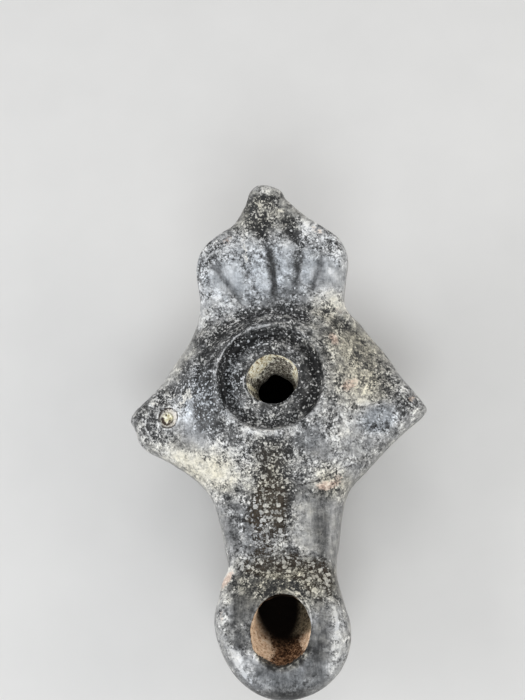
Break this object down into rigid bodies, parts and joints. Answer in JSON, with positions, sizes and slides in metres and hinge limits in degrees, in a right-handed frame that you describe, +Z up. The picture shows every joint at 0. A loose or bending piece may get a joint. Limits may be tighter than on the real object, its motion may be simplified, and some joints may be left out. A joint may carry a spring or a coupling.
{
  "type": "oil lamp",
  "caption": "Hellenistic mould-made terracotta oil lamp with worn dark slip: hollow round body, sunk discus, long nozzle, side lugs and a raised palmette handle.",
  "frame": {"origin": "on the flat underside, on the axis of the round body, below the centre of the sunk discus", "axes": "+Z up, +Y from the nozzle towards the handle, +X towards the lug that has no hole"},
  "size_m": [0.071, 0.1173, 0.0407],
  "materials": {
    "dark_slip": "worn semi-gloss slip"
  },
  "bodies": {
    "root": {"lamp_body": "dark_slip"}
  },
  "joints": []
}
